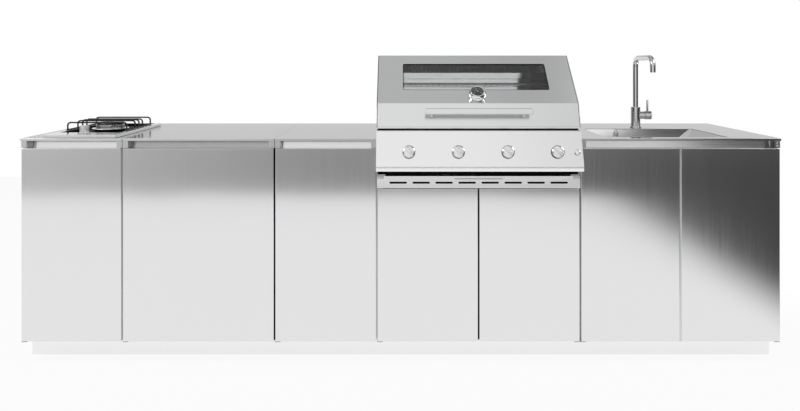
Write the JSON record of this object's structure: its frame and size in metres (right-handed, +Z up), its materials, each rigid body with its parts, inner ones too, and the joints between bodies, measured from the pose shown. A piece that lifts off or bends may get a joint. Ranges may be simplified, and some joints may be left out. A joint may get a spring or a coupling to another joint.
{
  "type": "outdoor kitchen island",
  "caption": "Stainless steel outdoor kitchen row with cabinets, a side gas burner, a hooded gas grill with a window, and a sink with a mixer tap.",
  "frame": {"origin": "on the floor under the middle of the row, at half its depth", "axes": "+X along the row towards the sink, -Y towards the person who cooks, +Z up"},
  "size_m": [3.007, 0.7122, 1.216],
  "materials": {
    "cabinet_steel": "satin brushed stainless steel sheet, vertical grain",
    "door_steel": "satin brushed stainless steel sheet with soft reflections",
    "worktop_steel": "finely polished stainless steel sheet",
    "grill_steel": "brushed stainless steel, grain along the row",
    "plain_steel": "plain rolled stainless steel",
    "tap_steel": "brushed solid stainless steel",
    "bright_chrome": "polished chrome plating",
    "cast_iron": "black enamelled cast iron and steel wire",
    "black_enamel": "gloss black enamel on pressed steel",
    "dial_face": "printed dark dial with white marks",
    "window_glass": "smoked toughened glass",
    "brass": "drawn brass tube",
    "white_plastic": "moulded plastic"
  },
  "bodies": {
    "root": {"cabinet_hob": "cabinet_steel", "cabinet_wide": "cabinet_steel", "cabinet_narrow": "cabinet_steel", "cabinet_grill": "cabinet_steel", "cabinet_sink": "cabinet_steel", "plinth": "cabinet_steel", "vent_rail": "cabinet_steel", "worktop_hob": "worktop_steel", "worktop_wide": "worktop_steel", "worktop_narrow": "worktop_steel", "worktop_sink": "worktop_steel", "sink_bowl": "worktop_steel", "sink_strainer": "worktop_steel", "pivot_rod_hob": "plain_steel", "pivot_rod_wide": "plain_steel", "pivot_rod_narrow": "plain_steel", "pivot_rod_grill_left": "plain_steel", "pivot_rod_grill_right": "plain_steel", "pivot_rod_sink_left": "plain_steel", "pivot_rod_sink_right": "plain_steel", "hood_hinge_rod": "plain_steel", "burner_tube_1": "plain_steel", "burner_tube_2": "plain_steel", "burner_tube_3": "plain_steel", "burner_tube_4": "plain_steel", "firebox": "plain_steel", "control_fascia": "grill_steel", "hob_plate": "grill_steel", "hob_burner": "grill_steel", "tap_body": "tap_steel", "warming_rack": "bright_chrome", "grill_grate": "cast_iron", "hotplate": "cast_iron", "hob_burner_cap": "cast_iron", "trivet": "cast_iron", "spill_tray": "black_enamel", "gas_manifold": "brass", "sink_trap": "white_plastic"},
    "door_hob": {"door_hob": "door_steel"},
    "door_wide": {"door_wide": "door_steel"},
    "door_narrow": {"door_narrow": "door_steel"},
    "door_grill_left": {"door_grill_left": "door_steel"},
    "door_grill_right": {"door_grill_right": "door_steel"},
    "door_sink_left": {"door_sink_left": "door_steel"},
    "door_sink_right": {"door_sink_right": "door_steel"},
    "hood": {"hood": "grill_steel", "hood_window": "window_glass", "hood_handle": "grill_steel", "thermometer_housing": "bright_chrome", "thermometer_dial": "dial_face"},
    "knob_1": {"knob_1": "bright_chrome"},
    "knob_2": {"knob_2": "bright_chrome"},
    "knob_3": {"knob_3": "bright_chrome"},
    "knob_4": {"knob_4": "bright_chrome"},
    "ignition_button": {"ignition_button": "white_plastic"},
    "drip_tray": {"drip_tray": "black_enamel"},
    "hob_knob": {"hob_knob": "bright_chrome"},
    "tap_spout": {"tap_spout": "tap_steel"},
    "mixer_cap": {"mixer_cap": "tap_steel"},
    "mixer_lever": {"mixer_lever": "tap_steel"}
  },
  "joints": [
    {"name": "door_hob_hinge", "type": "hinge", "parent": "root", "child": "door_hob", "pos_m": [-1.4905, -0.3185, 0.4], "axis": [0, 0, -1], "range_deg": [0, 90]},
    {"name": "door_wide_hinge", "type": "hinge", "parent": "root", "child": "door_wide", "pos_m": [-1.0905, -0.3185, 0.4], "axis": [0, 0, -1], "range_deg": [0, 90]},
    {"name": "door_narrow_hinge", "type": "hinge", "parent": "root", "child": "door_narrow", "pos_m": [-0.4885, -0.3185, 0.4], "axis": [0, 0, -1], "range_deg": [0, 90]},
    {"name": "door_grill_left_hinge", "type": "hinge", "parent": "root", "child": "door_grill_left", "pos_m": [-0.0845, -0.3185, 0.4], "axis": [0, 0, -1], "range_deg": [0, 90]},
    {"name": "door_grill_right_hinge", "type": "hinge", "parent": "root", "child": "door_grill_right", "pos_m": [0.7005, -0.3185, 0.4], "axis": [0, 0, 1], "range_deg": [0, 90]},
    {"name": "door_sink_left_hinge", "type": "hinge", "parent": "root", "child": "door_sink_left", "pos_m": [0.7195, -0.3185, 0.4], "axis": [0, 0, -1], "range_deg": [0, 90]},
    {"name": "door_sink_right_hinge", "type": "hinge", "parent": "root", "child": "door_sink_right", "pos_m": [1.4905, -0.3185, 0.4], "axis": [0, 0, 1], "range_deg": [0, 90]},
    {"name": "hood_hinge", "type": "hinge", "parent": "root", "child": "hood", "pos_m": [0.308, 0.19, 0.94], "axis": [-1, 0, 0], "range_deg": [0, 75]},
    {"name": "knob_1_turn", "type": "hinge", "parent": "root", "child": "knob_1", "pos_m": [0.03199, -0.35398, 0.835], "axis": [0, -0.9407, 0.3391], "range_deg": [0, 190]},
    {"name": "knob_2_turn", "type": "hinge", "parent": "root", "child": "knob_2", "pos_m": [0.22567, -0.35398, 0.835], "axis": [0, -0.9407, 0.3391], "range_deg": [0, 190]},
    {"name": "knob_3_turn", "type": "hinge", "parent": "root", "child": "knob_3", "pos_m": [0.41934, -0.35398, 0.835], "axis": [0, -0.9407, 0.3391], "range_deg": [0, 190]},
    {"name": "knob_4_turn", "type": "hinge", "parent": "root", "child": "knob_4", "pos_m": [0.61302, -0.35398, 0.835], "axis": [0, -0.9407, 0.3391], "range_deg": [0, 190]},
    {"name": "ignition_press", "type": "slide", "parent": "root", "child": "ignition_button", "axis": [0, 0.9407, -0.3391], "range_m": [0, 0.0035], "stiffness_N_per_m": 400, "springref_m": -0.001},
    {"name": "drip_tray_slide", "type": "slide", "parent": "root", "child": "drip_tray", "axis": [0, -1, 0], "range_m": [0, 0.38]},
    {"name": "hob_knob_turn", "type": "hinge", "parent": "root", "child": "hob_knob", "pos_m": [-1.28, -0.255, 0.9], "axis": [0, 0, 1], "range_deg": [0, 190]},
    {"name": "spout_swivel", "type": "hinge", "parent": "root", "child": "tap_spout", "pos_m": [1.078, 0.114, 0.98], "axis": [0, 0, 1], "range_deg": [-70, 70]},
    {"name": "mixer_turn", "type": "hinge", "parent": "root", "child": "mixer_cap", "pos_m": [1.118, 0.114, 0.942], "axis": [1, 0, 0], "range_deg": [-45, 45]},
    {"name": "mixer_lift", "type": "hinge", "parent": "mixer_cap", "child": "mixer_lever", "pos_m": [1.132, 0.114, 0.956], "axis": [0, 1, 0], "range_deg": [0, 25]}
  ]
}
